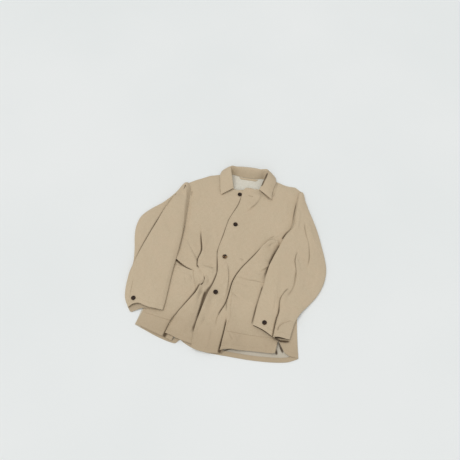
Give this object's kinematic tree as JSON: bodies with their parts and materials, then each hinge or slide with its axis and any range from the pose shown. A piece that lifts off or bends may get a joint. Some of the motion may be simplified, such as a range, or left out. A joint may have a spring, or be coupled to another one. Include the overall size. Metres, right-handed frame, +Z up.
{
  "type": "chore jacket laid flat",
  "caption": "Cotton chore jacket laid flat on its back, collar turned down, fronts lapped and buttoned, patch pockets, both sleeves folded down at its sides.",
  "frame": {"origin": "on the surface the jacket lies on, below the middle of its outline", "axes": "+Z up from the surface, +Y towards the collar, +X towards the wearer's left side"},
  "size_m": [0.7273, 0.7735, 0.0408],
  "materials": {
    "cotton": "matte",
    "buttons": "satin"
  },
  "bodies": {
    "root": {"back": "cotton", "hem_back": "cotton", "neck_facing": "cotton", "front_right": "cotton", "front_left": "cotton", "pocket_right": "cotton", "pocket_left": "cotton", "collar": "cotton", "sleeve_right": "cotton", "sleeve_left": "cotton", "button_neck": "buttons", "button_chest": "buttons", "button_waist": "buttons", "button_hip": "buttons", "button_cuff_right": "buttons", "button_cuff_left": "buttons"}
  },
  "joints": []
}
